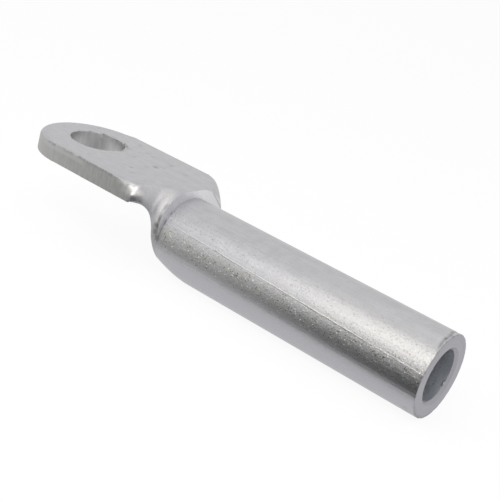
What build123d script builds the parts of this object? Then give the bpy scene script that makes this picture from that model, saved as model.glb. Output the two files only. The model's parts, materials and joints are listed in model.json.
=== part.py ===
from build123d import *
import math
import os

# One-piece aluminium cable lug, all sizes in millimetres.
# The origin is on the contact face of the palm, at the centre of the stud hole.
# +X runs along the barrel to its mouth and +Z leaves the contact face.
# The barrel lies below the contact face, which stands proud of it. The near side is -Y.

# Driving dimensions of the barrel
barrel_diameter = 18.0
bore_diameter = 11.3
bore_depth = 48.0
bore_point_angle = 118.0
bore_edge_break = 0.6
mouth_edge_break = 0.2
stud_hole_to_mouth = 97.5
face_above_barrel = 1.65

# Driving dimensions of the palm
palm_width = 26.5
palm_thickness = 4.2
stud_hole_diameter = 13.0
palm_edge_break = 0.3

# Driving dimensions of the pressed neck
step_to_mouth = 66.7
neck_length = 7.05
neck_overlap = 2.0
near_overhang = 0.5
near_shoulder_round = 7.3
near_inset = 0.6
near_inset_round = 1.5
near_waist_start = 0.37
near_waist_end = 0.74
far_overhang = 3.4
far_shoulder_round = 10.0
far_inset = 0.1
far_inset_round = 0.4
wall_behind_step = 0.8
keel_sag = 0.4
keel_inset = 0.2
bow_run = 8.5
bow_round = 18.0

# Sizes and places worked out from them
barrel_radius = barrel_diameter / 2
bore_radius = bore_diameter / 2
palm_half = palm_width / 2
axis_z = -(face_above_barrel + barrel_radius)
mouth_x = stud_hole_to_mouth
step_x = mouth_x - step_to_mouth
wall_x = step_x - wall_behind_step
bow_x = wall_x + bow_run
tip_x = -palm_half
palm_end_x = step_x - neck_length
neck_end_x = palm_end_x - neck_overlap
neck_run = step_x - neck_end_x
cut_margin = 1.0


def ease(share):
    # Smooth rise from 0 to 1 with no slope at either end
    share = min(max(share, 0.0), 1.0)
    return share * share * (3.0 - 2.0 * share)


def settle(share, power):
    # Quick rise from 0 that levels out at 1
    share = min(max(share, 0.0), 1.0)
    return 1.0 - (1.0 - share) ** power


def blend(start, end, share):
    return start + (end - start) * share


def across(x):
    # Plane square to the barrel at a place along it, drawn with Y to the right and Z up
    return Plane(origin=(x, 0, 0), x_dir=(0, 1, 0), z_dir=(1, 0, 0))


def near_shoulder(run):
    # Half width and top corner radius of the near side, a given run behind the step
    share = run / neck_run
    widening = ease((share - near_waist_start) / (near_waist_end - near_waist_start))
    half_width = blend(barrel_radius + near_overhang, palm_half - near_inset, widening)
    return half_width, blend(near_shoulder_round, near_inset_round, ease(share))


def far_shoulder(run):
    # The same for the far side, which flares out at once
    share = run / neck_run
    half_width = blend(barrel_radius + far_overhang, palm_half - far_inset, settle(share, 3.0))
    return half_width, blend(far_shoulder_round, far_inset_round, settle(share / 0.8, 2.0))


def keel(half_width, top_z, bottom_z):
    # Lower edge of a section: two quarter ellipses, or a straight line where it has no depth
    far, middle, near = (half_width, top_z), (0, top_z), (-half_width, top_z)
    depth = top_z - bottom_z
    if depth > 0:
        far_part = EllipticalCenterArc(middle, half_width, depth, start_angle=0, arc_size=-90)
        near_part = EllipticalCenterArc(middle, half_width, depth, start_angle=270, arc_size=-90)
        return [far_part, near_part]
    return [Line(far, middle), Line(middle, near)]


def neck_section(x, keel_half, keel_top_z, keel_bottom_z):
    # Flat contact face, a round shoulder on each side, leaning sides and the keel
    run = step_x - x
    near_half, near_round = near_shoulder(run)
    far_half, far_round = far_shoulder(run)
    near_centre = (near_round - near_half, -near_round)
    far_centre = (far_half - far_round, -far_round)
    face = Line((near_centre[0], 0), (far_centre[0], 0))
    far_corner = CenterArc(far_centre, far_round, 90, -90)
    far_side = Line((far_half, -far_round), (keel_half, keel_top_z))
    near_side = Line((-keel_half, keel_top_z), (-near_half, -near_round))
    near_corner = CenterArc(near_centre, near_round, 180, -90)
    lower = keel(keel_half, keel_top_z, keel_bottom_z)
    return across(x) * make_face([face, far_corner, far_side, *lower, near_side, near_corner])


def bow_depth(x):
    # Depth of the barrel under its axis, which a round bow lessens towards the wall
    run = max(bow_x - x, 0.0)
    return barrel_radius - (bow_round - math.sqrt(bow_round**2 - run**2))


def make_barrel():
    # Round barrel from the mouth, cut back to its upper half over the bow
    full = Cylinder(barrel_radius, mouth_x - wall_x, align=(Align.CENTER, Align.CENTER, Align.MAX))
    full = Plane(origin=(mouth_x, 0, axis_z), z_dir=(1, 0, 0)) * full
    mouth_edge = full.edges().filter_by(GeomType.CIRCLE).sort_by(Axis.X)[-1]
    full = fillet(mouth_edge, mouth_edge_break)
    under_height = barrel_radius + cut_margin
    under = Box(bow_x - wall_x, 2 * under_height, under_height, align=(Align.MIN, Align.CENTER, Align.MAX))
    return full - Pos(wall_x, 0, axis_z) * under


def make_bow():
    # Lower half of the barrel where it rises to the wall
    sections = []
    for share in (0.0, 0.35, 0.65, 0.85, 1.0):
        x = blend(bow_x, wall_x, share)
        lower = keel(barrel_radius, axis_z, axis_z - bow_depth(x))
        top = Line((-barrel_radius, axis_z), (barrel_radius, axis_z))
        sections.append(across(x) * make_face([top, *lower]))
    return loft(sections)


def make_arch():
    # Upper half of the neck, which ends in the face that the die pressed square to the barrel
    sections = [neck_section(x, barrel_radius, axis_z, axis_z) for x in (wall_x, step_x)]
    return loft(sections)


def make_wall():
    # Steep wall from the end of the bow up into the end of the palm
    sections = []
    low_z = -palm_thickness - keel_sag
    for share in (0.0, 0.15, 0.32, 0.5, 0.72, 1.0):
        x = blend(wall_x, neck_end_x, share)
        keel_half = near_shoulder(step_x - x)[0] - near_overhang
        lift = (keel_sag + keel_inset) * ease((share - 0.5) / 0.5)
        keel_top = blend(axis_z, low_z + keel_inset, ease(share / 0.5)) + lift
        keel_bottom = blend(axis_z - bow_depth(wall_x), low_z, ease(share / 0.5)) + lift
        sections.append(neck_section(x, keel_half, keel_top, keel_bottom))
    return loft(sections)


def make_palm():
    # Flat palm with a tip round about the stud hole, its upper edge broken by the punch
    straight = Pos(palm_end_x / 2, 0) * Rectangle(palm_end_x, palm_width)
    outline = straight + Circle(palm_half)
    plate = extrude(outline, amount=-palm_thickness)
    top_edges = plate.edges().filter_by(lambda edge: abs(edge.center().Z) < 1e-6)
    rim = top_edges.filter_by(lambda edge: edge.center().X < palm_end_x - 1e-6)
    return fillet(rim, palm_edge_break)


def make_bore():
    # Blind hole for the conductor, with a broken edge and the cone that the drill leaves
    point_depth = bore_radius / math.tan(math.radians(bore_point_angle / 2))
    bottom_x = mouth_x - bore_depth
    straight = Cylinder(bore_radius, bore_depth + cut_margin, align=(Align.CENTER, Align.CENTER, Align.MIN))
    point = Cone(bore_radius, 0, point_depth, align=(Align.CENTER, Align.CENTER, Align.MIN))
    edge_depth = bore_edge_break + cut_margin
    edge = Cone(bore_radius, bore_radius + edge_depth, edge_depth, align=(Align.CENTER, Align.CENTER, Align.MIN))
    hole = Plane(origin=(bottom_x, 0, axis_z), z_dir=(1, 0, 0)) * straight
    hole += Plane(origin=(bottom_x, 0, axis_z), z_dir=(-1, 0, 0)) * point
    hole += Plane(origin=(mouth_x - bore_edge_break, 0, axis_z), z_dir=(1, 0, 0)) * edge
    return hole


def make_stud_hole():
    # Through hole in the palm
    depth = palm_thickness + 2 * cut_margin
    return Pos(0, 0, -palm_thickness / 2) * Cylinder(stud_hole_diameter / 2, depth)


def make_lug():
    lug = make_barrel()
    for piece in (make_bow(), make_arch(), make_wall(), make_palm()):
        lug = lug + piece
    return lug - make_bore() - make_stud_hole()


cable_lug = make_lug()
os.makedirs("parts", exist_ok=True)
export_step(cable_lug, "parts/cable_lug.step")
print("cable_lug volume", round(cable_lug.volume, 1), "size", cable_lug.bounding_box().size)
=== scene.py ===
# %% [markdown]
# An aluminium cable lug
# The object is one piece of soft aluminium. A press flattens one end of a round bar into a palm,
# a punch trims the palm and makes the stud hole, and a drill makes the bore for the cable.
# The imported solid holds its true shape. This lesson gives that shape worn edges, dents and burrs,
# and a metal finish for each way in which the surface was made.

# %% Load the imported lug
import json
import math
import bmesh
import bpy
from mathutils import Matrix
from mathutils import Vector
from mathutils import noise


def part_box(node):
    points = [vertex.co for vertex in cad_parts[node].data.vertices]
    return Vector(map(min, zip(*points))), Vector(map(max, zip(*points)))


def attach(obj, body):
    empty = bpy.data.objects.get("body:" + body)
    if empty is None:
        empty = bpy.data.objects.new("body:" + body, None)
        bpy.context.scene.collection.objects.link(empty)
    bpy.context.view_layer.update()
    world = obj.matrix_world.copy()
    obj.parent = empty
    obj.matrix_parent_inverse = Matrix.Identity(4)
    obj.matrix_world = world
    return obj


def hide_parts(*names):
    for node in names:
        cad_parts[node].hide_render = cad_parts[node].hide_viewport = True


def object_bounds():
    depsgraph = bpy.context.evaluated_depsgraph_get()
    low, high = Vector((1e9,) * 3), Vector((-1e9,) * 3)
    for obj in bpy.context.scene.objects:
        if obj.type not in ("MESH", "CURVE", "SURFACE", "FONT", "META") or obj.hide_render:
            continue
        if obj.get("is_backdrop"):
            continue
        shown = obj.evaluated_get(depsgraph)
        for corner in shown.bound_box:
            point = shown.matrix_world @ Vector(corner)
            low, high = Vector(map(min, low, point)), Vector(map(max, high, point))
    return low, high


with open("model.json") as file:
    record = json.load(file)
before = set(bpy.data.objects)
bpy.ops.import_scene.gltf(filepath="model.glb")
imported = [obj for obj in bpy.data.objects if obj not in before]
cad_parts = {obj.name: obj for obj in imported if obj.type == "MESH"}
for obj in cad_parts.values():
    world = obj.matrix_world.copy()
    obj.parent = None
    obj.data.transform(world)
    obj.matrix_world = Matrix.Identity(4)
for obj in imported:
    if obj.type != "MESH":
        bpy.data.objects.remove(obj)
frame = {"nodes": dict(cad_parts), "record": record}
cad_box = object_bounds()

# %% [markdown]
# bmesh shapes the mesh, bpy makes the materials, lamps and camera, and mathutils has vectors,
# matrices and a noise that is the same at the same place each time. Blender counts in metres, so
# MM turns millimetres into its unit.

MM = 0.001
low_corner, high_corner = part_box("cable_lug")
print("The lug is", [round(side / MM, 2) for side in high_corner - low_corner], "mm")

# %% [markdown]
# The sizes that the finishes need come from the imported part: its box gives the mouth and the
# underside, and its mounts give the stud hole and the bore. Only the barrel's radius, the place
# of the neck's end and the end of the palm are written here. All of them are in millimetres,
# because a lug is small and its marks are tenths of a millimetre.

# %% Read the sizes
mounts = {mount["name"]: mount for mount in frame["record"]["mounts"]}
hole_radius = mounts["stud_hole"]["dims"]["r_mm"]
palm_thickness = mounts["stud_hole"]["dims"]["length_mm"]
bore_radius = mounts["cable_bore"]["dims"]["r_mm"]
bore_depth = mounts["cable_bore"]["dims"]["length_mm"]
mouth_x = high_corner.x / MM
tip_x = low_corner.x / MM
floor_z = low_corner.z / MM
palm_half = high_corner.y / MM
barrel_radius = 9.0
axis_z = floor_z + barrel_radius
neck_x = 30.8
palm_end_x = 23.75
print("The mouth is at", round(mouth_x, 1), "mm and the barrel's axis is at", round(axis_z, 2), "mm")

# %% [markdown]
# The camera stands close, low and tilted, as the photograph does. A camera looks along its own
# minus Z, so its three axes are worked out from the azimuth, elevation and roll, and set as the
# columns of its matrix. That is surer than typing Euler angles.

# %% Set the camera
camera_azimuth = math.radians(32.411)
camera_elevation = math.radians(20.054)
camera_roll = math.radians(15.938)
camera_place = Vector((160.5, -176.37, 70.08)) * MM
camera_lens = 75.724
sensor_width = 36.0
nearest_seen = 0.005

level_reach = math.cos(camera_elevation)
level_right = Vector((math.cos(camera_azimuth), math.sin(camera_azimuth), 0.0))
backward = Vector((math.sin(camera_azimuth) * level_reach, -math.cos(camera_azimuth) * level_reach,
                   math.sin(camera_elevation)))
level_up = backward.cross(level_right)
right = math.cos(camera_roll) * level_right + math.sin(camera_roll) * level_up
up = math.cos(camera_roll) * level_up - math.sin(camera_roll) * level_right
turn = Matrix((right, up, backward)).transposed().to_4x4()

scene = bpy.context.scene
camera_data = bpy.data.cameras.new("camera")
camera_data.lens = camera_lens
camera_data.sensor_width = sensor_width
camera_data.clip_start = nearest_seen
camera = bpy.data.objects.new("camera", camera_data)
camera.matrix_world = Matrix.Translation(camera_place) @ turn
scene.collection.objects.link(camera)
scene.camera = camera
scene.view_settings.view_transform = "Standard"
print("The camera is", round(camera_place.length / MM), "mm from the stud hole")

# %% [markdown]
# Materials, the floor and the world are all node trees. Wiring nodes by hand hides what they work
# out, so a Link wraps one output socket and lets Python's own operators add the Math nodes:
# (1 - mask) * 0.3 reads as what it does.

# %% A socket that can be used in sums
class Link:
    """One output socket, which can be used in sums as if it were a number."""

    def __init__(self, nodes, socket):
        self.nodes = nodes
        self.socket = socket

    def maths(self, operation, first, second=0.0):
        return self.nodes.add("ShaderNodeMath", {"operation": operation}, {0: first, 1: second})

    def __add__(self, other):
        return self.maths("ADD", self, other)

    __radd__ = __add__

    def __sub__(self, other):
        return self.maths("SUBTRACT", self, other)

    def __rsub__(self, other):
        return self.maths("SUBTRACT", other, self)

    def __mul__(self, other):
        return self.maths("MULTIPLY", self, other)

    __rmul__ = __mul__

    def __pow__(self, other):
        return self.maths("POWER", self, other)

    def __abs__(self):
        return self.maths("ABSOLUTE", self)

    def most(self, other):
        return self.maths("MAXIMUM", self, other)

    def rise(self, low, high):
        """0 below low, 1 above high, with a smooth step between them."""
        inputs = {"Value": self, "From Min": low, "From Max": high}
        return self.nodes.add("ShaderNodeMapRange", {"interpolation_type": "SMOOTHSTEP"}, inputs)

    def between(self, low, rise_end, fall_start, high):
        """1 from rise_end to fall_start, falling smoothly to 0 at low and at high."""
        return self.rise(low, rise_end) * (1.0 - self.rise(fall_start, high))


# %% [markdown]
# Every other node comes from one method, Nodes.add. It is given the kind of node, its settings,
# and a value or a Link for each input. The few nodes that come up again and again, such as a mix
# of two colours or a noise, have a short method of their own.

# %% A maker of nodes
class Nodes:
    """Adds nodes to one node tree and gives back their outputs as Links."""

    def __init__(self, tree):
        self.tree = tree
        tree.nodes.clear()

    def add(self, kind, settings=None, inputs=None, output=None):
        """One node, whose output is the first that is in use unless another is named."""
        node = self.tree.nodes.new(kind)
        for name, value in (settings or {}).items():
            setattr(node, name, value)
        for key, value in (inputs or {}).items():
            if isinstance(value, Link):
                self.tree.links.new(value.socket, node.inputs[key])
            else:
                node.inputs[key].default_value = value
        if output is not None:
            return Link(self, node.outputs[output])
        in_use = [socket for socket in node.outputs if socket.enabled]
        return Link(self, in_use[0] if in_use else None)

    def mix(self, share, first, second):
        """A colour that goes from first to second."""
        inputs = {0: share, 6: first, 7: second}
        return self.add("ShaderNodeMix", {"data_type": "RGBA"}, inputs)

    def noise(self, place, scale=1.0, roughness=0.6):
        inputs = {"Vector": place, "Scale": scale, "Detail": 3.0, "Roughness": roughness}
        return self.add("ShaderNodeTexNoise", inputs=inputs)

    def drawn_noise(self, x, y, z):
        """Noise that is drawn out along the axes that change least."""
        return self.noise(self.add("ShaderNodeCombineXYZ", inputs={0: x, 1: y, 2: z}))

    def layer(self, name):
        """A value that the mesh carries at its points."""
        return self.add("ShaderNodeAttribute", {"attribute_name": name}, output="Fac")

    def point_mm(self):
        """Object coordinates in millimetres, as a vector and as x, y and z."""
        metres = self.add("ShaderNodeTexCoord", output="Object")
        point = self.add("ShaderNodeVectorMath", {"operation": "SCALE"}, {0: metres, "Scale": 1.0 / MM})
        parts = [self.add("ShaderNodeSeparateXYZ", inputs={0: point}, output=axis) for axis in "XYZ"]
        return point, parts


# %% [markdown]
# The object is shot on a plain white table. A lit white plane is never quite white, and more light
# on it would fall on the object too. So the floor and the world are white by themselves for the
# rays that see them, also by reflection. A part of the floor stays ordinary paint, which keeps the
# object's shadow.

# %% Lay the floor
floor_half_width = 3.0
floor_white_share = 0.8
floor_glow = 1.1
floor_colour = (0.85, 0.85, 0.86, 1.0)

floor_shape = bmesh.new()
bmesh.ops.create_grid(floor_shape, x_segments=1, y_segments=1, size=floor_half_width)
bmesh.ops.translate(floor_shape, verts=floor_shape.verts, vec=(0.0, 0.0, floor_z * MM))
floor_mesh = bpy.data.meshes.new("table_top")
floor_shape.to_mesh(floor_mesh)
floor_shape.free()
floor = bpy.data.objects.new("table_top", floor_mesh)
scene.collection.objects.link(floor)
floor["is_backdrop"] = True


def seen_directly(nodes):
    """1 for rays that see, from the camera, by reflection or through glass, and 0 for the others."""
    names = ("Is Camera Ray", "Is Glossy Ray", "Is Transmission Ray")
    camera_ray, glossy_ray, clear_ray = [nodes.add("ShaderNodeLightPath", output=name) for name in names]
    return camera_ray.most(glossy_ray).most(clear_ray)


floor_material = bpy.data.materials.new("white_table")
floor_material.use_nodes = True
nodes = Nodes(floor_material.node_tree)
paint = nodes.add("ShaderNodeBsdfDiffuse", inputs={"Color": floor_colour})
glow = nodes.add("ShaderNodeEmission", inputs={"Strength": floor_glow})
white_share = seen_directly(nodes) * floor_white_share
surface = nodes.add("ShaderNodeMixShader", inputs={0: white_share, 1: paint, 2: glow})
nodes.add("ShaderNodeOutputMaterial", inputs={"Surface": surface})
floor_mesh.materials.append(floor_material)
print("The floor lies at", round(floor_z, 2), "mm")

# %% [markdown]
# The rest of the room is one even white. It lights the metal dimly from all sides, so that nothing
# goes quite black, and it is full white where it is seen. An image of a studio would do that too,
# but a single value is easier to balance against the lamps.

# %% Set up the world
world_fill = 0.55
world = bpy.data.worlds.new("studio")
world.use_nodes = True
scene.world = world
nodes = Nodes(world.node_tree)
level = world_fill + seen_directly(nodes) * (1.0 - world_fill)
backdrop = nodes.add("ShaderNodeBackground", inputs={"Color": (1.0, 1.0, 1.0, 1.0), "Strength": level})
nodes.add("ShaderNodeOutputWorld", inputs={"Surface": backdrop})

# %% [markdown]
# The light comes from one soft lamp over the object, one in front, and the dim world. A small lamp
# would give hard glints, so both are large soft boxes. The strength of an area lamp is its whole
# power, so it is worked out from the brightness of its face and its size.

# %% Hang the lamps
def area_lamp(name, place_mm, aim_mm, size_mm, brightness, colour=(1.0, 1.0, 1.0)):
    """A soft box whose face has a given brightness, whatever its size."""
    data = bpy.data.lights.new(name, "AREA")
    data.shape = "RECTANGLE"
    data.size, data.size_y = [side * MM for side in size_mm]
    data.energy = brightness * math.pi * data.size * data.size_y
    data.color = colour
    lamp = bpy.data.objects.new(name, data)
    ahead = (Vector(aim_mm) - Vector(place_mm)).normalized()
    turn = ahead.to_track_quat("-Z", "Y").to_matrix().to_4x4()
    lamp.matrix_world = Matrix.Translation(Vector(place_mm) * MM) @ turn
    scene.collection.objects.link(lamp)
    print("The lamp", name, "gives", round(data.energy, 4), "W")


warm_white = (1.0, 0.98, 0.945)
area_lamp("overhead_softbox", (30, 120, 420), (30, 0, 0), (300, 300), 0.25)
area_lamp("front_softbox", (50, -175, 168), (60, 0, -10), (215, 165), 1.7, warm_white)

# %% [markdown]
# Metal shows what stands round it, and round a white table that is only white. A photographer puts
# a dark card beside a shiny object, out of the camera's sight: its reflection draws the dark band
# that gives the barrel its shape. The card here is seen by reflections only and throws no shadow.
# It gets darker towards the mouth, as the band in the photograph does.

# %% Set up the dark card
card_centre = Vector((60.0, -40.5, -15.2))
card_width = 120.0
card_height = 51.0
card_tilt = math.radians(-9.0)
card_spin = math.radians(3.8)
grey_at_palm = (0.43, 0.43, 0.43, 1.0)
grey_at_mouth = (0.0, 0.0, 0.0, 1.0)

card_shape = bmesh.new()
bmesh.ops.create_grid(card_shape, x_segments=1, y_segments=1, size=0.5)
bmesh.ops.scale(card_shape, verts=card_shape.verts, vec=(card_width * MM, card_height * MM, 1.0))
turn = Matrix.Rotation(card_spin, 3, "Z") @ Matrix.Rotation(card_tilt, 3, "X")
bmesh.ops.rotate(card_shape, verts=card_shape.verts, cent=(0.0, 0.0, 0.0), matrix=turn)
bmesh.ops.translate(card_shape, verts=card_shape.verts, vec=card_centre * MM)
card_mesh = bpy.data.meshes.new("dark_card")
card_shape.to_mesh(card_mesh)
card_shape.free()
card = bpy.data.objects.new("dark_card", card_mesh)
scene.collection.objects.link(card)
card.visible_camera = False
card.visible_diffuse = False
card.visible_transmission = False
card.visible_shadow = False
card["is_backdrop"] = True

card_material = bpy.data.materials.new("dark_card")
card_material.use_nodes = True
nodes = Nodes(card_material.node_tree)
x = nodes.point_mm()[1][0]
along = x.rise(card_centre.x - card_width / 2, card_centre.x + card_width / 2)
glow = nodes.add("ShaderNodeEmission", inputs={"Color": nodes.mix(along, grey_at_palm, grey_at_mouth)})
nodes.add("ShaderNodeOutputMaterial", inputs={"Surface": glow})
card_mesh.materials.append(card_material)
print("The card is", card_width, "by", card_height, "mm")

# %% [markdown]
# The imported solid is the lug's own shape, but its mesh is a few long triangles, which can't carry
# a dent. A copy of it is sliced by a grid of planes: that leaves every point on the true surface
# and gives small, even faces. A voxel remesh would be one line, but it chews up the crisp rims.
# The planes stand closer together at the neck and the mouth, where the metal is most worked.

# %% Copy and slice the solid
lug_node = frame["nodes"]["cable_lug"]
shape = bmesh.new()
shape.from_mesh(lug_node.data)
bmesh.ops.remove_doubles(shape, verts=shape.verts, dist=0.001 * MM)
print("The merged copy has", len(shape.faces), "faces")


def slice_at(shape, place_mm, normal):
    """Cuts the whole mesh by one plane."""
    everything = shape.verts[:] + shape.edges[:] + shape.faces[:]
    place = Vector(place_mm) * MM
    bmesh.ops.bisect_plane(shape, geom=everything, dist=1e-7, plane_co=place, plane_no=normal)


def slice_up(shape, axis, low_mm, high_mm, pitch_mm):
    """Cuts the whole mesh by planes square to an axis, a pitch apart."""
    normal = Vector((0.0, 0.0, 0.0))
    normal[axis] = 1.0
    count = round((high_mm - low_mm) / pitch_mm)
    for step in range(1, count):
        slice_at(shape, normal * (low_mm + (high_mm - low_mm) * step / count), normal)


X, Y, Z = range(3)
plain_pitch, barrel_pitch = 0.45, 0.9
neck_pitch, neck_low_x, neck_high_x = 0.25, neck_x - 3.0, neck_x + 1.0
mouth_pitch, filed_x = 0.3, mouth_x - 2.4
slice_up(shape, Y, -palm_half, palm_half, plain_pitch)
slice_up(shape, Z, floor_z, 0.0, plain_pitch)
slice_up(shape, X, tip_x, neck_low_x, plain_pitch)
slice_up(shape, X, neck_low_x, neck_high_x, neck_pitch)
slice_up(shape, X, neck_high_x, filed_x, barrel_pitch)
slice_up(shape, X, filed_x, mouth_x, mouth_pitch)

# %% [markdown]
# The two halves of the die leave a fine raised line along the barrel. It isn't square to the
# grid, so three planes that hold the line are cut through the barrel, and the middle one's points
# are raised later. The line turns a little about the barrel on its way to the mouth.

# %% Slice along the die line
line_start_x, line_start_angle = 40.5, 62.0
line_end_x, line_end_angle = 96.3, 73.75
line_half_width = 0.16


def on_barrel(x, angle, radius=barrel_radius):
    """A point on the barrel, by its angle from the top towards the near side."""
    turn = math.radians(angle)
    return Vector((x, -radius * math.sin(turn), axis_z + radius * math.cos(turn)))


middle = on_barrel((line_start_x + line_end_x) / 2, 0.0, radius=0.0)
for offset in (-line_half_width, 0.0, line_half_width):
    side_step = math.degrees(offset / barrel_radius)
    first = on_barrel(line_start_x, line_start_angle + side_step)
    last = on_barrel(line_end_x, line_end_angle + side_step)
    slice_at(shape, first, (last - first).cross(middle - first).normalized())
bmesh.ops.remove_doubles(shape, verts=shape.verts, dist=0.01 * MM)
print("The sliced copy has", len(shape.faces), "faces")

# %% [markdown]
# Each mark is a small rule that moves a point, in millimetres, by where it lies. Rules are surer
# than a sculpting brush, because they can be read, changed and repeated. They share a few
# measures: smooth steps and mounds, an even noise, and a point's distance and angle about the
# axis of the barrel.

# %% Measures that the rules share
def ramp(value, low, high):
    """0 below low, 1 above high, with a smooth step between them."""
    share = min(max((value - low) / (high - low), 0.0), 1.0)
    return share * share * (3.0 - 2.0 * share)


def plateau(value, low, rise_end, fall_start, high):
    """1 from rise_end to fall_start, falling smoothly to 0 at low and at high."""
    return ramp(value, low, rise_end) * (1.0 - ramp(value, fall_start, high))


def mound(value, centre, half_width):
    """1 at the centre, falling smoothly to 0 half a width away."""
    share = min(abs(value - centre) / half_width, 1.0)
    return (1.0 - share * share) ** 2


def rough(x, y, z):
    """Even noise from about -1 to 1."""
    return noise.noise(Vector((x, y, z)))


def from_axis(point):
    """How far a point is from the axis of the barrel."""
    return math.hypot(point.y, point.z - axis_z)


def outward(point):
    """The direction that leads from the axis of the barrel to a point."""
    return Vector((0.0, point.y, point.z - axis_z)).normalized()


def angle_about(point):
    """The angle of a point about the axis, in degrees from the top towards the near side."""
    return math.degrees(math.atan2(-point.y, point.z - axis_z))


# %% [markdown]
# A punch that trims a plate drags its upper rim down, and here it did so most of all at the near
# corner by the neck, where the rim is a broad round. A bevel has one width all along, so the rim
# is pulled onto a quarter circle whose radius grows along the edge. Past the end of the palm, the
# neck starts flush with its side and is eased into its own narrower shape. The rim round the tip
# is soft and even.

# %% Roll the rims
rim_fades_from_x, rim_is_whole_at_x = -3.0, 1.0
edge_reach, edge_waver, tip_reach = 0.55, 0.25, 1.1
corner_reach, corner_from_x, corner_to_x, corner_growth = 1.9, 16.5, 24.6, 1.6
near_inset, inset_from_x, inset_to_x = 0.6, 20.5, 23.7
break_top, break_foot = 1.6, 2.6
fill_reach, fill_foot_z, fill_end_x = 2.4, -3.9, 25.7


def above_break(point):
    """1 on the upper part of the palm's side and 0 below the place where the metal broke."""
    return 1.0 - ramp(-point.z, break_top, break_foot)


def roll_near_rim(point):
    """The punch drags the near rim down, most of all at the neck."""
    if point.x > palm_end_x + 0.05 or point.y > 0.0:
        return
    reach = edge_reach + edge_waver * rough(point.x * 1.1, 3.0, 0.0)
    reach += corner_reach * ramp(point.x, corner_from_x, corner_to_x) ** corner_growth
    reach *= ramp(point.x, rim_fades_from_x, rim_is_whole_at_x)
    inset = near_inset * ramp(point.x, inset_from_x, inset_to_x)
    if point.y < 1.0 - palm_half:
        point.y += inset * above_break(point)
    centre_y, centre_z = reach + inset - palm_half, -reach
    if point.y < centre_y and point.z > centre_z:
        across = Vector((point.y - centre_y, point.z - centre_z))
        if across.length > 1e-6:
            across *= min(reach / across.length, 1.0)
        point.y, point.z = centre_y + across.x, centre_z + across.y


def fill_corner(point):
    """The neck starts flush with the end of the palm's near side and draws in from there."""
    inner_y = fill_reach + near_inset - palm_half
    beside_end = palm_end_x - 0.01 < point.x < fill_end_x + 0.1 and point.y < inner_y
    if not beside_end or not fill_foot_z < point.z < -0.02:
        return
    side_y = near_inset * above_break(point) - palm_half
    if point.z > -fill_reach:
        side_y += fill_reach - math.sqrt(fill_reach**2 - (fill_reach + point.z) ** 2)
    point.y += (side_y - point.y) * (1.0 - ramp(point.x, palm_end_x, fill_end_x))


def round_tip(point):
    """The upper rim round the tip is softer than the sides."""
    gap = math.hypot(point.x, point.y)
    reach = tip_reach * (1.0 - ramp(point.x, rim_fades_from_x, rim_is_whole_at_x))
    inner = palm_half - reach
    if reach > 0.1 and gap > inner and point.z > -reach:
        out, down = gap - inner, point.z + reach
        share = min(reach / math.hypot(out, down), 1.0)
        point.x *= (inner + out * share) / gap
        point.y *= (inner + out * share) / gap
        point.z = down * share - reach


# %% [markdown]
# Below its rolled rim the punched side is a field of fine upright shear marks. It broke away in
# two levels: by the tip only its lower part lies a step further in, and towards the neck all of it
# does. Marks and step are about a tenth of a millimetre, so they are noise that is drawn out along
# Z, plus two smooth ramps.

# %% Shear the punched side
shear_depth, sheared_to_x = 0.07, 24.2
step_depth, step_top, step_foot = 0.05, 1.2, 1.7
step_end_x, all_low_x = 9.2, 12.0


def shear_side(point):
    """Shear marks of the punch on the near side, which broke away in two levels."""
    if not 0.0 <= point.x <= sheared_to_x or point.y > 0.2 - palm_half:
        return
    fade = ramp(point.x, -2.0, 1.0) * ramp(-point.z, 0.1, 0.5)
    scratch = shear_depth * (0.5 + rough(point.x * 2.6, 7.0, point.z * 0.25))
    by_the_tip = 1.0 - ramp(point.x, step_end_x - 0.4, step_end_x)
    broken = step_depth * ramp(-point.z, step_top, step_foot) * by_the_tip
    low = step_depth * ramp(point.x, step_end_x, all_low_x)
    point.y += fade * (scratch + broken + low)


# %% [markdown]
# At its end the neck was squeezed between the two halves of the die, and on the near side the
# metal bulges into a soft ridge before the flat face that the die pressed. Points on the skin are
# pushed straight away from the axis there, in a mound that follows the edge. The edge itself
# stays, or it would catch the light as a bright wire.

# %% Fold the neck
ridge_height, ridge_half_width = 0.2, 2.2
ridge_from_x, ridge_top_x, ridge_bend = 27.0, 30.1, 0.9
ridge_angles = (15.0, 42.0, 84.0, 100.0)
bend_angles = (30.0, 60.0)


def fold_neck(point):
    """The near end of the neck bulges into a ridge before the face that the die pressed."""
    angle = angle_about(point)
    radius = from_axis(point)
    if not ridge_from_x <= point.x <= neck_x + 0.01 or angle < 0.0 or point.y > 0.0:
        return
    on_edge = point.x > neck_x - 0.01 and radius < barrel_radius + 0.2
    if on_edge or radius <= barrel_radius - 0.4:
        return
    upper = 1.0 - ramp(angle, *bend_angles)
    swell = mound(point.x, ridge_top_x - ridge_bend * upper, ridge_half_width + 0.4 * upper)
    swell *= 1.0 + 0.25 * rough(angle * 0.12, point.x, 3.0)
    point += outward(point) * ridge_height * swell * plateau(angle, *ridge_angles)


# %% [markdown]
# The contact face has small dimples from grit in the press, and the punch tore the far rim of the
# stud hole. The dimples are few and each is in its own place, so they are a short list. The torn
# rim is uneven all along, so noise does it.

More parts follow.
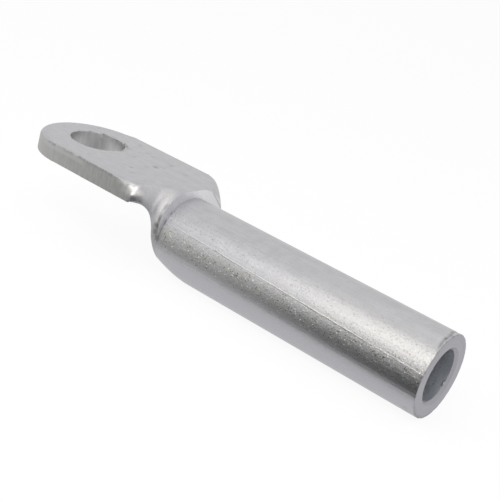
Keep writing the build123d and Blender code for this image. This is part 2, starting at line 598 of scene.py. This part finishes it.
# %% Dent the face and tear the hole
# Each dimple has its x and y, its radius and its depth
dimples = (
    (9.5, 7.2, 0.9, 0.10), (11.3, 6.7, 0.8, 0.09), (17.2, 7.0, 1.0, 0.09), (17.0, 1.8, 1.1, 0.13),
    (17.8, 3.6, 0.8, 0.07), (16.3, -0.7, 0.9, 0.08), (15.7, -4.9, 0.9, 0.07), (18.6, -7.7, 1.2, 0.07),
    (4.6, 9.8, 1.2, 0.08), (22.8, 6.0, 1.2, 0.08), (24.8, -10.6, 0.8, 0.08), (10.6, 1.4, 1.0, 0.07),
    (9.3, 0.8, 0.7, 0.04), (-9.5, -2.0, 0.9, 0.05), (-7.5, 7.5, 1.1, 0.05), (6.8, -9.4, 1.0, 0.05),
)
dimple_squeeze = 0.8
torn_depth, torn_width, rim_wear = 0.4, 0.25, 0.05


def dent_face(point):
    """Dimples in the contact face, a little longer across the palm than along it."""
    if point.z < -0.05 or point.x > neck_x - 1.0:
        return
    for x, y, radius, depth in dimples:
        gap = math.hypot(point.x - x, (point.y - y) * dimple_squeeze)
        if gap < radius:
            point.z -= depth * mound(gap, 0.0, radius)


def tear_hole(point):
    """The punch leaves the rim of the stud hole a little torn at the far side."""
    gap = math.hypot(point.x, point.y)
    if point.z < -0.5 or not hole_radius - 0.05 <= gap <= hole_radius + 0.4:
        return
    turn = math.atan2(point.y, point.x)
    torn = max(rough(math.cos(turn) * 7.0, math.sin(turn) * 7.0, 5.0) + 0.12, 0.0)
    torn *= ramp(point.y, -3.0, 3.0)
    if point.z > -0.02:
        point.z -= torn_depth * torn + rim_wear
    point.x += point.x / gap * torn_width * torn
    point.y += point.y / gap * torn_width * torn


# %% [markdown]
# After sawing, the edge of the mouth was filed by hand, which left a shallow wandering groove over
# the top of the barrel and a ragged outer edge. The drill left one burr on the edge of the bore.
# The die line was cut into the mesh above, and only its middle points are raised.

# %% File the mouth, leave the burr and raise the die line
groove_depth, groove_half_width = 0.16, 0.55
burr_place, burr_radius, burr_reach = Vector((4.74, -3.08)), 0.7, 0.75
line_height = 0.05


def file_mouth(point):
    """The outer edge of the mouth was filed by hand on its upper side."""
    if point.x < mouth_x - 2.2 or from_axis(point) < barrel_radius - 0.5:
        return
    angle = angle_about(point)
    upper = 1.0 - ramp(abs(angle - 10.0), 25.0, 70.0)
    waver = 0.8 + rough(angle * 0.08, point.x * 0.6, 2.0)
    groove_x = mouth_x - 1.0 - 0.35 * rough(angle * 0.05, 0.0, 9.0) + 0.6 * ramp(angle, 15.0, 40.0)
    groove = groove_depth * mound(point.x, groove_x, groove_half_width) * upper * waver
    ragged = max(0.02 + 0.16 * rough(angle * 0.2, 4.0, 1.0), 0.0)
    point -= outward(point) * (groove + ragged * ramp(point.x, mouth_x - 0.5, mouth_x))


def leave_burr(point):
    """A small burr that the drill left on the edge of the bore."""
    gap = (Vector((point.y, point.z - axis_z)) - burr_place).length
    if point.x < mouth_x - 0.75 or gap > burr_radius or from_axis(point) >= bore_radius + 0.5:
        return
    point -= outward(point) * burr_reach * mound(gap, 0.0, burr_radius)


def on_line(point):
    """Whether a point lies on the crest of the die line."""
    share = (point.x - line_start_x) / (line_end_x - line_start_x)
    line_angle = line_start_angle + (line_end_angle - line_start_angle) * share
    gap = math.radians(abs(angle_about(point) - line_angle)) * barrel_radius
    return gap < line_half_width / 2 and from_axis(point) >= barrel_radius - 0.3


def raise_line(point):
    """The line that the die left along the barrel."""
    if point.x >= neck_x + 2.0 and on_line(point):
        worn = 1.0 - 0.6 * ramp(point.x, 80.0, 97.0)
        point += outward(point) * line_height * worn * ramp(point.x, neck_x + 2.0, neck_x + 8.0)


# %% [markdown]
# Stains gather in the dimples. Painted shade darkens the hollow under the near corner, the crevice at
# the foot of the ridge and the filed groove. Darker marks run along the rolled rim, round the torn
# hole and at the edges of the mouth. A texture could paint them, but the same rules that place the
# marks can also say how dark each point is. The answer is kept on the mesh as a layer, which the finishes
# read.

# %% Stain the dimples and paint shade in the hollows
# Each spot has its x, y and z, its radius and its strength
# The first seven spots are painted shade in the hollow under the near corner and in the crevice at the
# foot of the ridge. The rest darken the edge of the mouth and the face by the hole
dirt_and_shade_spots = (
    (24.7, -12.7, -3.2, 1.3, 0.9), (25.7, -12.1, -3.4, 1.8, 1.0), (27.6, -10.9, -3.9, 1.4, 0.6),
    (30.2, -9.4, -7.2, 0.8, 0.9), (30.1, -9.2, -8.8, 0.9, 0.8), (30.4, -8.9, -6.0, 0.6, 0.5),
    (22.6, -12.9, -1.1, 0.6, 0.5), (95.4, -6.9, -17.0, 0.9, 0.5), (95.6, -5.8, -17.9, 0.8, 0.55),
    (96.9, -6.2, -4.4, 0.5, 0.5), (96.9, -7.9, -6.4, 0.6, 0.5), (97.2, -8.7, -8.6, 0.7, 0.5),
    (5.6, 4.3, 0.0, 1.4, 0.35),
)


def spot_sum(point, spots):
    """How much of some round spots lies over a point."""
    total = 0.0
    for x, y, z, radius, amount in spots:
        total += amount * mound((point - Vector((x, y, z))).length, 0.0, radius)
    return total


def palm_stains_and_dark_marks(point):
    """Stains in the dimples, a dark ragged band along the rolled rim and dark patches round the torn
    hole.
    """
    total = 0.0
    if point.z > -0.05:
        patchy = 1.0 + 1.6 * rough(point.x * 1.3, point.y * 1.3, 4.0)
        for x, y, radius, depth in dimples:
            total += 3.4 * depth * mound(math.hypot(point.x - x, point.y - y), 0.0, radius) * patchy
    if -4.5 < point.x < 22.5 and point.y < 0.4 - palm_half and point.z > -1.4:
        level = -0.25 - 0.35 * ramp(point.x, 16.0, 22.0) - 0.25 * rough(point.x * 0.7, 5.0, 5.0)
        patchy = 0.3 + 0.8 * rough(point.x * 0.55, 2.0, 8.0) + 0.7 * rough(point.x * 1.9, 6.0, 1.0)
        total += 1.1 * mound(point.z, level, 0.4) * max(patchy, 0.0)
    if point.z > -0.4 and point.y > -3.0 and math.hypot(point.x, point.y) < hole_radius + 0.5:
        patchy = max(rough(math.atan2(point.y, point.x) * 4.0, 5.0, 2.0), 0.0)
        total += 1.4 * patchy * ramp(point.y, -3.0, 2.0)
    return total


def barrel_shade_and_dark_marks(point):
    """Painted shade in the crevice at the foot of the ridge and in the filed groove, and darker edges at
    the mouth.
    """
    total = 0.0
    radius = from_axis(point)
    angle = angle_about(point)
    # Painted shade in the crevice at the foot of the ridge
    if neck_x - 0.55 < point.x < neck_x + 0.3 and radius > barrel_radius - 0.1 and point.y < 0.0:
        patchy = max(0.45 + 0.9 * rough(angle * 0.12, 3.0, 7.0), 0.0)
        total += plateau(angle, 38.0, 52.0, 84.0, 94.0) * patchy
    # The lower edge of the mouth is darker
    if point.x > mouth_x - 0.3 and radius > barrel_radius - 0.45:
        total += 0.3 * ramp(abs(angle), 115.0, 140.0)
    # Painted shade in the filed groove, and a ragged darker band at the very edge
    if point.x > mouth_x - 2.5 and radius > barrel_radius - 0.3:
        groove_x = mouth_x - 0.9 - 0.5 * rough(angle * 0.05, 0.0, 9.0) + 0.7 * ramp(angle, 12.0, 32.0)
        patchy = 0.8 + 0.8 * rough(angle * 0.15, 1.0, 6.0)
        total += mound(point.x, groove_x, 0.5) * (1.0 - ramp(abs(angle), 26.0, 45.0)) * patchy
        ragged = max(rough(angle * 0.25, 8.0, 2.0), 0.0)
        total += 0.9 * ragged * ramp(point.x, mouth_x - 0.5, mouth_x)
    return total


def dirt_and_shade_at(point):
    """How dark the skin is made by stains, painted shade and dark marks, from 0 to 1."""
    return min(spot_sum(point, dirt_and_shade_spots) + palm_stains_and_dark_marks(point) + barrel_shade_and_dark_marks(point), 1.0)


# %% [markdown]
# Where the tools rubbed, the skin is burnished and bright: at one place on the rim of the hole and
# in stretches along the crest of the die line. On the near corner of the palm and on the ridge, which
# face the lamps, the brightness is a painted highlight over burnished metal. A second layer holds both.

# %% Burnish the rubbed places and paint the highlights
# The first three spots are a painted highlight on the near corner of the palm, and the last is a
# burnished place on the rim of the hole
burnish_and_highlight_spots = (
    (23.3, -12.6, -0.8, 1.3, 1.0), (24.6, -12.3, -1.1, 1.7, 1.0), (25.9, -11.7, -1.5, 1.5, 1.0),
    (-4.5, 4.8, 0.0, 0.5, 1.0),
)


def burnish_and_highlight_at(point):
    """How bright the skin is made, from 0 to 1: burnished metal, with a painted highlight on the near
    corner and the ridge.
    """
    total = spot_sum(point, burnish_and_highlight_spots)
    angle = angle_about(point)
    # Painted highlight along the ridge, where it faces the lamps
    if ridge_from_x < point.x < neck_x - 0.05 and 10.0 < angle < 90.0:
        crest_x = 28.9 + ramp(angle, 30.0, 62.0)
        half_width = 2.1 - 0.7 * ramp(angle, *bend_angles)
        total += 0.3 * plateau(angle, 16.0, 34.0, 62.0, 84.0) * mound(point.x, crest_x, half_width) ** 0.6
    if point.x > neck_x + 4.0 and on_line(point):
        total += max(0.35 + 0.4 * rough(point.x * 0.6, 0.0, 3.0), 0.0)
    return min(total, 1.0)


# %% [markdown]
# Now every point goes through the rules once. Its layers are worked out first, from where it lies
# on the true shape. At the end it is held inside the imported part's box, because a finish may wear
# a part down but doesn't make it bigger.

# %% Work the metal
rules = (roll_near_rim, fill_corner, round_tip, shear_side, fold_neck, dent_face, tear_hole,
         file_mouth, leave_burr, raise_line)
dirt_and_shade = shape.verts.layers.float.new("dirt_and_shade")
burnish_and_highlight = shape.verts.layers.float.new("burnish_and_highlight")
for vert in shape.verts:
    point = vert.co / MM
    vert[dirt_and_shade] = dirt_and_shade_at(point)
    vert[burnish_and_highlight] = burnish_and_highlight_at(point)
    for rule in rules:
        rule(point)
    point.x = min(max(point.x, tip_x), mouth_x)
    point.y = min(max(point.y, -palm_half), palm_half)
    point.z = min(max(point.z, floor_z), 0.0)
    vert.co = point * MM
bmesh.ops.remove_doubles(shape, verts=shape.verts, dist=0.01 * MM)
bmesh.ops.dissolve_degenerate(shape, edges=shape.edges, dist=0.002 * MM)
shape.normal_update()
print("The worked copy has", len(shape.faces), "faces")

# %% [markdown]
# The face of each cut is another kind of surface: pressed skin, punched side, punched hole, sawn
# mouth, drilled bore and the face that the die pressed. They could be picked by hand, but the
# faces have no numbers that last, so each is sorted by where it lies and which way it looks. The
# edges between them stay sharp, and all else is shaded smooth.

# %% Sort the faces
SKIN, SIDE, HOLE, MOUTH, BORE, DIE = range(6)
sharp_angle = math.radians(38.0)
bore_wall_x = mouth_x - 0.61
bore_point_x = mouth_x - bore_depth - 5.0


def finish_of(centre, normal):
    """Which finish a face has, by its centre in millimetres and its normal."""
    radius = from_axis(centre)
    if math.hypot(centre.x, centre.y) < hole_radius + 0.12 and centre.z < -0.03:
        return HOLE
    if bore_point_x < centre.x < bore_wall_x and radius < bore_radius + 0.05:
        return BORE
    if centre.x > mouth_x - 0.7 and (abs(normal.x) > 0.5 or radius < barrel_radius - 0.4):
        return MOUTH
    if abs(centre.x - neck_x) < 0.04 and normal.x > 0.8:
        return DIE
    if centre.x < palm_end_x + 0.25 and centre.z > -palm_thickness - 0.01 and abs(normal.z) < 0.7:
        return SIDE
    return SKIN


for face in shape.faces:
    face.smooth = True
    face.material_index = finish_of(face.calc_center_median() / MM, face.normal)
for edge in shape.edges:
    edge.smooth = edge.calc_face_angle(0.0) < sharp_angle
finishes = [face.material_index for face in shape.faces]
print("Faces of each finish, in order:", [finishes.count(finish) for finish in range(6)])

# %% [markdown]
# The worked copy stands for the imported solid, which is hidden, and it rides on the same body. The
# copy brought the solid's own shading normals along, which no longer fit, so they are removed.

# %% Make the piece
lug_mesh = bpy.data.meshes.new("lug")
shape.to_mesh(lug_mesh)
shape.free()
if "custom_normal" in lug_mesh.attributes:
    lug_mesh.attributes.remove(lug_mesh.attributes["custom_normal"])
lug = bpy.data.objects.new("lug", lug_mesh)
scene.collection.objects.link(lug)
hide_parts("cable_lug")
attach(lug, "root")

# %% [markdown]
# All the finishes are bare aluminium: fully metallic, with a grey tone for how much the fine
# roughness swallows. They differ in tone, roughness and grain. The marks are worked out from
# Object coordinates, so they stay where they are when the part is copied or moved.

# %% Shared parts of the finishes
def new_metal(name):
    material = bpy.data.materials.new(name)
    material.use_nodes = True
    return material, Nodes(material.node_tree)


def finish_metal(nodes, tone, roughness, height, strength, depth_mm):
    """A bare metal surface of a given tone, with a height that is felt only in its shading."""
    relief = {"Strength": strength, "Distance": depth_mm * MM, "Height": height}
    normal = nodes.add("ShaderNodeBump", output="Normal", inputs=relief)
    metal = {"Base Color": tone, "Metallic": 1.0, "Roughness": roughness, "Normal": normal}
    surface = nodes.add("ShaderNodeBsdfPrincipled", inputs=metal)
    nodes.add("ShaderNodeOutputMaterial", inputs={"Surface": surface})


def grey(level, warmth=0.0):
    """A grey that leans to yellow for a positive warmth and to blue for a negative one."""
    return (level * (1.0 + warmth * 0.5), level, level * (1.0 - warmth), 1.0)


# %% [markdown]
# The pressed skin carries most marks. A single noise would make it look like cast stone, so it is
# built up in the order in which it came about: the long faint streaks and clouds of the drawn
# bar, then the scuffed olive strip along the near side below the die line. First come the masks,
# which say where each part lies, by x and by the angle about the barrel, and where painted shade
# and painted highlights go.

# %% Pressed skin: masks and patterns
pressed_skin, nodes = new_metal("pressed_skin")
point, (x, y, z) = nodes.point_mm()
near_y = 0.0 - y
around = near_y.maths("ARCTAN2", near_y, z - axis_z) * math.degrees(1.0)
barrel = x.rise(neck_x - 0.3, neck_x + 0.6)
scuffed = around.between(60.0, 74.0, 86.0, 100.0) * barrel
near_side = around.between(20.0, 50.0, 95.0, 110.0) * barrel
# Painted shade: the lower side of the barrel, from about 92 degrees on
painted_underside_shade = around.rise(92.0, 118.0) * barrel
# Painted reflection: a dark band along the near side, stronger towards the mouth
painted_dark_reflection = around.between(74.0, 86.0, 95.0, 108.0) * x.rise(46.0, 92.0)
# Painted highlight: a lighter, warmer patch on the upper near side towards the mouth
painted_warm_highlight = near_side * (1.0 - around.rise(60.0, 78.0)) * x.rise(48.0, 90.0)
ridge = x.between(25.0, 28.0, neck_x - 0.2, neck_x) * around.rise(5.0, 25.0)
dirt_and_shade_share = nodes.layer("dirt_and_shade")
burnish_and_highlight_share = nodes.layer("burnish_and_highlight")

blotches = nodes.noise(point, scale=0.45)
grain = nodes.noise(point, scale=2.8, roughness=0.65)
streaks = nodes.drawn_noise(x * 0.1, y * 2.0, z * 2.0)
flakes = nodes.drawn_noise(x * 2.1, y * 3.2, z * 3.2).rise(0.60, 0.70)
pits = grain.rise(0.55, 0.67)
clouds = (streaks * 0.5 + blotches * 0.5).rise(0.38, 0.62)

# %% [markdown]
# The colours are then laid over each other, from the plain metal up to the wear: the tone of each
# part of the barrel with painted shade on its lower side, a painted dark reflection along the near
# side and a painted highlight by the mouth, dark pits, bright flakes where the strip is scuffed,
# burnished places with painted highlights, and stains with painted shade. The grain that places the
# pits also gives the relief, so tone and relief belong together.

# %% Pressed skin: tones and relief
drawn_dark = (0.448, 0.443, 0.463, 1.0)
drawn_light = (0.492, 0.487, 0.505, 1.0)
olive = (0.432, 0.431, 0.416, 1.0)
underside_shade_tone = (0.44, 0.435, 0.46, 1.0)
highlight_tone = (0.505, 0.497, 0.478, 1.0)
pit_grey = grey(0.12, 0.05)
flake_grey = grey(0.95, 0.03)
burnish_and_highlight_grey = grey(0.90, 0.05)
dirt_and_shade_grey = grey(0.15, 0.02)

strip_wear = scuffed * blotches.rise(0.38, 0.58) * (0.45 + around.rise(72.0, 82.0) * 0.55)
wear = 0.06 + near_side * 0.32 + strip_wear
tone = nodes.mix(clouds, drawn_dark, drawn_light)
tone = nodes.mix(scuffed * (0.3 + blotches.rise(0.3, 0.7) * 0.7), tone, olive)
# Painted shade makes the lower side of the barrel darker and bluer
tone = nodes.mix(painted_underside_shade, tone, underside_shade_tone)
# The painted reflection darkens the band below the die line
tone = nodes.mix(painted_dark_reflection * 0.7, tone, grey(0.3, -0.02))
# The painted highlight lightens the tone and makes it warmer
tone = nodes.mix(painted_warm_highlight * 0.6, tone, highlight_tone)
tone = nodes.mix(pits * wear, tone, pit_grey)
tone = nodes.mix(flakes * (0.1 + scuffed * 0.9), tone, flake_grey)
# Burnished places, with a painted highlight on the near corner and the ridge, lighten the tone
tone = nodes.mix(burnish_and_highlight_share * (0.6 + grain.rise(0.4, 0.6) * 0.4), tone, burnish_and_highlight_grey)
# Stains in the dimples, painted shade in the hollow, crevice and groove, and darker marks along the rims
# darken the tone
tone = nodes.mix(dirt_and_shade_share * (0.55 + grain.rise(0.35, 0.6) * 0.45), tone, dirt_and_shade_grey)
height = streaks * 0.25 + grain * (0.35 + near_side * 0.25 + scuffed * 0.3 + burnish_and_highlight_share * 0.5)
finish_metal(nodes, tone, roughness=0.42 + scuffed * 0.05 + ridge * 0.2, height=height,
             strength=0.9, depth_mm=0.1)

# %% [markdown]
# The punched side is darker and duller than the skin, with fine upright lines where the metal
# sheared. It is lighter round the tip, and in the band above the step by the tip. One noise,
# drawn out along Z, gives both the tone and the relief of the lines.

# %% Punched side
punched_side, nodes = new_metal("punched_side")
point, (x, y, z) = nodes.point_mm()
shears = nodes.drawn_noise(x * 2.2, y * 2.2, z * 0.35)
round_the_tip = 1.0 - x.rise(-8.0, 8.0)
above_the_step = z.rise(-step_foot, -step_top) * (1.0 - x.rise(step_end_x - 0.6, step_end_x + 0.2))
tone = nodes.mix(shears.rise(0.3, 0.7), grey(0.32, 0.01), grey(0.385, 0.01))
tone = nodes.mix(round_the_tip * 0.6, tone, grey(0.46, 0.02))
tone = nodes.mix(above_the_step * 0.5, tone, grey(0.47, 0.02))
# Burnished places, with a painted highlight at the near corner, lighten the side
tone = nodes.mix(nodes.layer("burnish_and_highlight"), tone, grey(0.9, 0.03))
# Painted shade from the hollow under the near corner, and the dark band low on the rolled rim, darken the
# side
tone = nodes.mix(nodes.layer("dirt_and_shade") * (0.6 + shears * 0.4), tone, grey(0.12, 0.02))
finish_metal(nodes, tone, roughness=0.5, height=shears, strength=0.4, depth_mm=0.05)

# %% [markdown]
# The stud hole was punched too, and its wall came out cleaner: it is brighter than the side of the
# palm, and its upright lines are broader and fainter. So it is made in the same way, from other
# numbers.

# %% Punched hole
punched_hole, nodes = new_metal("punched_hole")
point, (x, y, z) = nodes.point_mm()
shears = nodes.drawn_noise(x * 1.6, y * 1.6, z * 0.3)
tone = nodes.mix(shears.rise(0.3, 0.7), grey(0.47), grey(0.55))
finish_metal(nodes, tone, roughness=0.42, height=shears, strength=0.35, depth_mm=0.05)

# %% [markdown]
# The ring at the mouth shows faint circles about the axis. A wave texture would make them too
# regular, so noise is read by the distance from the axis, with a little of y and z to break the
# circles.

# %% Sawn mouth
sawn_mouth, nodes = new_metal("sawn_mouth")
point, (x, y, z) = nodes.point_mm()
radius = (y ** 2.0 + (z - axis_z) ** 2.0) ** 0.5
rings = nodes.drawn_noise(radius * 2.2, y * 0.12, z * 0.12)
mouth_dark = (0.335, 0.33, 0.357, 1.0)
mouth_light = (0.368, 0.363, 0.39, 1.0)
tone = nodes.mix(rings.rise(0.35, 0.65), mouth_dark, mouth_light)
# The shared layer darkens the ragged edge of the mouth and its lower edge
tone = nodes.mix(nodes.layer("dirt_and_shade"), tone, grey(0.15))
finish_metal(nodes, tone, roughness=0.42, height=rings, strength=0.35, depth_mm=0.06)

# %% [markdown]
# The drill leaves close rings along the bore, which are noise that changes fast along x only.
# Little light gets in, so the tone is much lighter than it looks in the render: the bore is painted
# lighter to make up for the missing light. It is a little blue, as the bore is in the photograph.

# %% Drilled bore
drilled_bore, nodes = new_metal("drilled_bore")
point, (x, y, z) = nodes.point_mm()
rings = nodes.drawn_noise(x * 1.5, y * 0.2, z * 0.2)
bore_dark = (0.555, 0.575, 0.61, 1.0)
bore_light = (0.63, 0.65, 0.68, 1.0)
tone = nodes.mix(rings.rise(0.3, 0.7), bore_dark, bore_light)
finish_metal(nodes, tone, roughness=0.55, height=rings, strength=0.5, depth_mm=0.1)

# %% [markdown]
# The die pressed the face at the end of the neck flat and left it pale, with a fine matt grain. On
# the far side it is a little darker, and a faint slanting crease runs down it, where the metal
# folded. The crease could be cut into the mesh, but it is finer than the faces there, so the
# distance from a slanted line darkens the tone as painted shade in the crease.

# %% Pressed face at the end of the neck
die_face, nodes = new_metal("die_face")
point, (x, y, z) = nodes.point_mm()
grain = nodes.noise(point, scale=1.6, roughness=0.5)
die_dark = (0.72, 0.715, 0.74, 1.0)
die_light = (0.80, 0.795, 0.82, 1.0)
tone = nodes.mix(grain.rise(0.3, 0.7), die_dark, die_light)
tone = nodes.mix(y.rise(0.5, 8.0), tone, grey(0.66, -0.02))
from_crease = abs(y - 6.5 + (z + 0.8) * 1.05)
painted_crease_shade = (1.0 - from_crease.rise(0.05, 0.5)) * y.rise(5.0, 7.0)
# Painted shade in the fold of the crease
tone = nodes.mix(painted_crease_shade * 0.5, tone, grey(0.3))
finish_metal(nodes, tone, roughness=0.5, height=grain, strength=0.4, depth_mm=0.05)

# %% [markdown]
# A face points to its finish by a number, so the materials go on in the order of those numbers.
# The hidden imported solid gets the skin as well, in case it is shown by itself.

# %% Put the finishes on
for material in (pressed_skin, punched_side, punched_hole, sawn_mouth, drilled_bore, die_face):
    lug_mesh.materials.append(material)
lug_node.data.materials.clear()
lug_node.data.materials.append(pressed_skin)

# %% [markdown]
# The size of the finished model is set against that of the imported part: the move of each
# corner of its box is printed.

# %% Print how far the box moved
visual_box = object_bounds()
moves = [(after - before).length / MM for before, after in zip(cad_box, visual_box)]
print("The corners of the box moved by", [round(move, 3) for move in moves], "mm")
